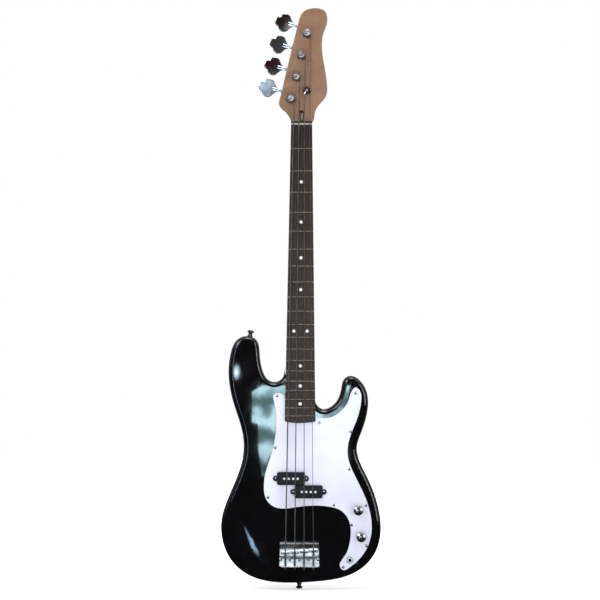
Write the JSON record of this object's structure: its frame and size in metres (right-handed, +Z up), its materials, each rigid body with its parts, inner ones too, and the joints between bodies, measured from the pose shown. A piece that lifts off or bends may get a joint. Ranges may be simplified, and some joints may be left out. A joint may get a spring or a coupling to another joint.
{
  "type": "electric bass guitar",
  "caption": "Solid-body electric bass guitar with a bolt-on neck, split pickup, bent-plate bridge with adjustable saddles and open-geared tuning machines.",
  "frame": {"origin": "seat of the end strap button on the tail of the body, at half the body's thickness and on the neck's centre line", "axes": "+Z up the neck to the headstock, -Y out of the front face, +X to the treble side"},
  "size_m": [0.3261, 0.0671, 1.1834],
  "materials": {
    "body_paint": "gloss black lacquer on solid wood",
    "guard_plastic": "cool white laminated plastic",
    "neck_wood": "satin tan maple",
    "board_wood": "dark open-grained board",
    "fret_metal": "polished nickel silver",
    "nut_bone": "pale bone",
    "marker_white": "white dots",
    "chrome": "bright chrome",
    "steel": "plain steel",
    "screw_steel": "nickel-plated steel",
    "pickup_black": "black moulded plastic",
    "coil_copper": "enamelled wire on black bobbin plates",
    "pole_steel": "ground magnet rod",
    "foam": "soft dark foam",
    "string_steel": "nickel-wound steel",
    "brass": "plain brass",
    "capacitor_film": "dipped orange-brown",
    "wire_cloth": "cloth-covered wire"
  },
  "bodies": {
    "instrument": {"body": "body_paint", "pickguard": "guard_plastic", "pickguard_screws": "screw_steel", "neck": "neck_wood", "fretboard": "board_wood", "nut": "nut_bone", "frets": "fret_metal", "position_markers": "marker_white", "truss_rod": "steel", "neck_plate": "chrome", "neck_screws": "screw_steel", "bridge_plate": "chrome", "bridge_screws": "screw_steel", "intonation_springs": "steel", "pickup_foam": "foam", "potentiometers": "steel", "control_nuts": "chrome", "output_jack": "chrome", "tone_capacitor": "capacitor_film", "lead_wires": "wire_cloth", "strap_buttons": "chrome", "strap_button_screws": "screw_steel", "string_tree": "chrome", "tuner_plates": "chrome", "tuner_bushings": "chrome", "headstock_screws": "screw_steel", "string_e": "string_steel", "string_a": "string_steel", "string_d": "string_steel", "string_g": "string_steel"},
    "key_e": {"tuner_key_e": "chrome"},
    "post_e": {"tuner_post_e": "chrome"},
    "key_a": {"tuner_key_a": "chrome"},
    "post_a": {"tuner_post_a": "chrome"},
    "key_d": {"tuner_key_d": "chrome"},
    "post_d": {"tuner_post_d": "chrome"},
    "key_g": {"tuner_key_g": "chrome"},
    "post_g": {"tuner_post_g": "chrome"},
    "intonation_e": {"intonation_screw_e": "screw_steel"},
    "saddle_e": {"saddle_e": "chrome"},
    "intonation_a": {"intonation_screw_a": "screw_steel"},
    "saddle_a": {"saddle_a": "chrome"},
    "intonation_d": {"intonation_screw_d": "screw_steel"},
    "saddle_d": {"saddle_d": "chrome"},
    "intonation_g": {"intonation_screw_g": "screw_steel"},
    "saddle_g": {"saddle_g": "chrome"},
    "volume_control": {"volume_knob": "chrome", "volume_shaft": "brass"},
    "tone_control": {"tone_knob": "chrome", "tone_shaft": "brass"},
    "truss_nut": {"truss_rod_nut": "steel"},
    "pickup_bass": {"pickup_cover_bass": "pickup_black", "pickup_coil_bass": "coil_copper", "pole_pieces_bass": "pole_steel", "pickup_screws_bass": "screw_steel"},
    "pickup_treble": {"pickup_cover_treble": "pickup_black", "pickup_coil_treble": "coil_copper", "pole_pieces_treble": "pole_steel", "pickup_screws_treble": "screw_steel"}
  },
  "joints": [
    {"name": "key_turn_e", "type": "hinge", "parent": "instrument", "child": "key_e", "pos_m": [-0.01931, -0.0002, 0.9966], "axis": [-0.9718, 0, 0.2357], "continuous": true, "deforming": ["string_e"]},
    {"name": "post_turn_e", "type": "hinge", "parent": "instrument", "child": "post_e", "pos_m": [-0.0222, -0.0214, 0.9847], "axis": [0, 1, 0], "continuous": true, "deforming": ["string_e"]},
    {"name": "key_turn_a", "type": "hinge", "parent": "instrument", "child": "key_a", "pos_m": [-0.00857, -0.0002, 1.04092], "axis": [-0.9718, 0, 0.2357], "continuous": true, "deforming": ["string_a"]},
    {"name": "post_turn_a", "type": "hinge", "parent": "instrument", "child": "post_a", "pos_m": [-0.01145, -0.0214, 1.02902], "axis": [0, 1, 0], "continuous": true, "deforming": ["string_a"]},
    {"name": "key_turn_d", "type": "hinge", "parent": "instrument", "child": "key_d", "pos_m": [0.00218, -0.0002, 1.08524], "axis": [-0.9718, 0, 0.2357], "continuous": true, "deforming": ["string_d"]},
    {"name": "post_turn_d", "type": "hinge", "parent": "instrument", "child": "post_d", "pos_m": [-0.00071, -0.0214, 1.07333], "axis": [0, 1, 0], "continuous": true, "deforming": ["string_d"]},
    {"name": "key_turn_g", "type": "hinge", "parent": "instrument", "child": "key_g", "pos_m": [0.01292, -0.0002, 1.12955], "axis": [-0.9718, 0, 0.2357], "continuous": true, "deforming": ["string_g"]},
    {"name": "post_turn_g", "type": "hinge", "parent": "instrument", "child": "post_g", "pos_m": [0.01004, -0.0214, 1.11765], "axis": [0, 1, 0], "continuous": true, "deforming": ["string_g"]},
    {"name": "intonation_turn_e", "type": "hinge", "parent": "instrument", "child": "intonation_e", "pos_m": [-0.0285, -0.027, 0.033], "axis": [0, -0.1347, 0.9909], "range_deg": [-3600, 3600], "deforming": ["string_e", "intonation_springs"]},
    {"name": "saddle_slide_e", "type": "slide", "parent": "instrument", "child": "saddle_e", "axis": [0, 0, 1], "range_m": [-0.004, 0.004], "deforming": ["string_e", "intonation_springs"]},
    {"name": "intonation_turn_a", "type": "hinge", "parent": "instrument", "child": "intonation_a", "pos_m": [-0.0095, -0.027, 0.033], "axis": [0, -0.1751, 0.9846], "range_deg": [-3600, 3600], "deforming": ["string_a", "intonation_springs"]},
    {"name": "saddle_slide_a", "type": "slide", "parent": "instrument", "child": "saddle_a", "axis": [0, 0, 1], "range_m": [-0.004, 0.004], "deforming": ["string_a", "intonation_springs"]},
    {"name": "intonation_turn_d", "type": "hinge", "parent": "instrument", "child": "intonation_d", "pos_m": [0.0095, -0.027, 0.033], "axis": [0, -0.1672, 0.9859], "range_deg": [-3600, 3600], "deforming": ["string_d", "intonation_springs"]},
    {"name": "saddle_slide_d", "type": "slide", "parent": "instrument", "child": "saddle_d", "axis": [0, 0, 1], "range_m": [-0.004, 0.004], "deforming": ["string_d", "intonation_springs"]},
    {"name": "intonation_turn_g", "type": "hinge", "parent": "instrument", "child": "intonation_g", "pos_m": [0.0285, -0.027, 0.033], "axis": [0, -0.1171, 0.9931], "range_deg": [-3600, 3600], "deforming": ["string_g", "intonation_springs"]},
    {"name": "saddle_slide_g", "type": "slide", "parent": "instrument", "child": "saddle_g", "axis": [0, 0, 1], "range_m": [-0.004, 0.004], "deforming": ["string_g", "intonation_springs"]},
    {"name": "volume_turn", "type": "hinge", "parent": "instrument", "child": "volume_control", "pos_m": [0.11932, -0.0225, 0.14894], "axis": [0, -1, 0], "range_deg": [0, 300]},
    {"name": "tone_turn", "type": "hinge", "parent": "instrument", "child": "tone_control", "pos_m": [0.12551, -0.0225, 0.09478], "axis": [0, -1, 0], "range_deg": [0, 300]},
    {"name": "truss_nut_turn", "type": "hinge", "parent": "instrument", "child": "truss_nut", "pos_m": [0, -0.0174, 0.9446], "axis": [0, 0, 1], "range_deg": [-180, 180]},
    {"name": "pickup_slide_bass", "type": "slide", "parent": "instrument", "child": "pickup_bass", "axis": [0, -1, 0], "range_m": [-0.002, 0.002], "deforming": ["pickup_foam", "lead_wires"]},
    {"name": "pickup_slide_treble", "type": "slide", "parent": "instrument", "child": "pickup_treble", "axis": [0, -1, 0], "range_m": [-0.002, 0.002], "deforming": ["pickup_foam", "lead_wires"]}
  ],
  "couplings": [
    {"joint": "post_turn_e", "follows": "key_turn_e", "ratio": 0.05},
    {"joint": "post_turn_a", "follows": "key_turn_a", "ratio": 0.05},
    {"joint": "post_turn_d", "follows": "key_turn_d", "ratio": 0.05},
    {"joint": "post_turn_g", "follows": "key_turn_g", "ratio": 0.05},
    {"joint": "intonation_turn_e", "follows": "saddle_slide_e", "rad_per_m": -12566},
    {"joint": "intonation_turn_a", "follows": "saddle_slide_a", "rad_per_m": -12566},
    {"joint": "intonation_turn_d", "follows": "saddle_slide_d", "rad_per_m": -12566},
    {"joint": "intonation_turn_g", "follows": "saddle_slide_g", "rad_per_m": -12566}
  ]
}
